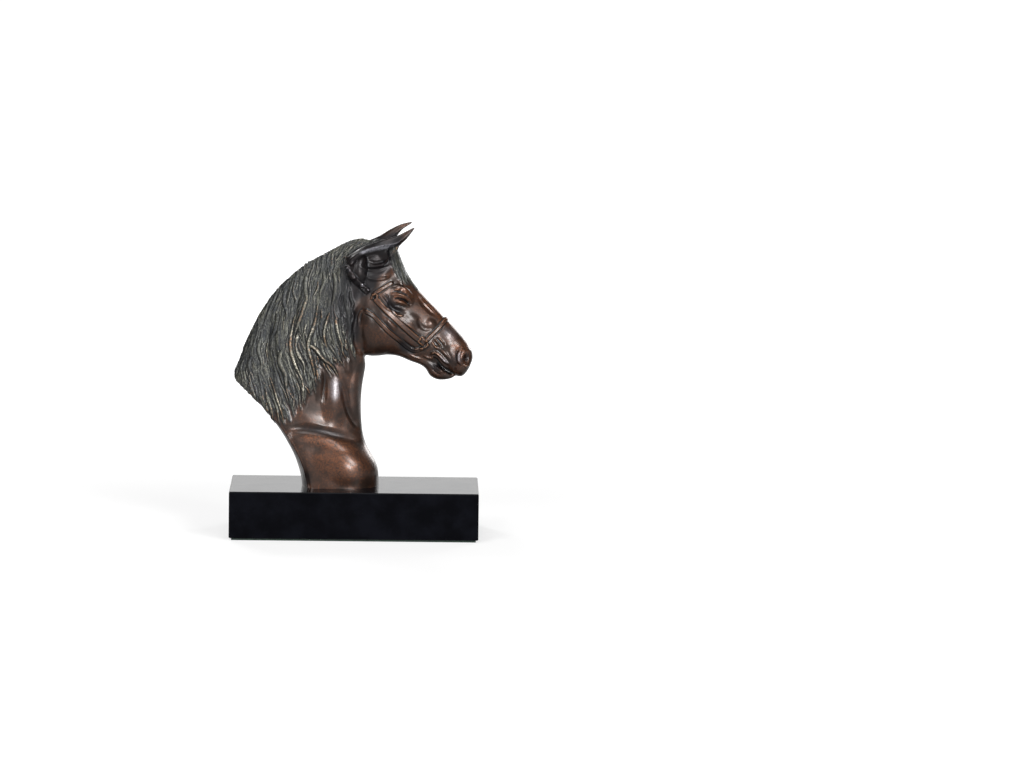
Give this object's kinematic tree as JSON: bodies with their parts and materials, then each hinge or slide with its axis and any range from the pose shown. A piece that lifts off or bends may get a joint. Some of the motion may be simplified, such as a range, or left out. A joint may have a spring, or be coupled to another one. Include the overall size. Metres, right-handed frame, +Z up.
{
  "type": "bronze horse head statuette on a stone plinth",
  "caption": "Bronze horse's head and neck with bridle and flowing mane, on a black rectangular stone plinth, for a shelf or as a bookend.",
  "frame": {"origin": "centre of the felt pad's underside, where the statuette rests", "axes": "+X the way the horse looks, along the plinth's length; +Y the horse's left side; +Z up"},
  "size_m": [0.15, 0.075, 0.1877],
  "materials": {
    "bronze": "dark brown patinated bronze, rubbed reddish on raised edges, green-black in the hair, waxed satin",
    "black_stone": "polished black stone",
    "felt": "dark green felt",
    "steel": "zinc-plated steel"
  },
  "bodies": {
    "root": {"horse_casting": "bronze", "plinth": "black_stone", "felt_pad": "felt", "stud_rear": "steel", "stud_front": "steel", "washer_rear": "steel", "washer_front": "steel", "nut_rear": "steel", "nut_front": "steel"}
  },
  "joints": []
}
